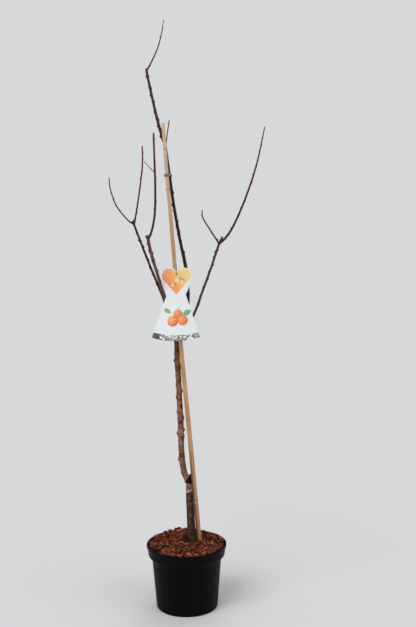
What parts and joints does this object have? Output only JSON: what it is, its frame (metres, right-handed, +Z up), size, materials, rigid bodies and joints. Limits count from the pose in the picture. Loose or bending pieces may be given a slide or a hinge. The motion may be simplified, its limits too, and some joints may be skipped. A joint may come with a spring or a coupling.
{
  "type": "potted apricot tree",
  "caption": "Leafless young grafted apricot tree in a black nursery pot with bark mulch, tied to a bamboo cane, with a heart-topped picture label.",
  "frame": {"origin": "centre of the underside of the pot's base", "axes": "+Z up along the pot's axis, -Y towards the viewer of the label's printed face, +X to that viewer's right"},
  "size_m": [0.4916, 0.2638, 1.8372],
  "materials": {
    "pot_plastic": "satin black moulded plastic",
    "growing_medium": "dark crumbly growing medium",
    "bark_mulch": "rough red-brown bark chips",
    "tree_bark": "bark: grey-brown and knobbly on old wood, smooth wine-red on shoots",
    "wound_sealant": "satin black",
    "bamboo": "satin tan bamboo",
    "tie_band": "satin dark green",
    "label_card": "satin white printed sheet",
    "label_wire": "dark plastic-coated wire"
  },
  "bodies": {
    "root": {"pot": "pot_plastic", "soil": "growing_medium", "bark_mulch": "bark_mulch", "tree": "tree_bark", "graft_seal": "wound_sealant", "cane": "bamboo", "tie": "tie_band", "label": "label_card", "label_tie": "label_wire"}
  },
  "joints": []
}
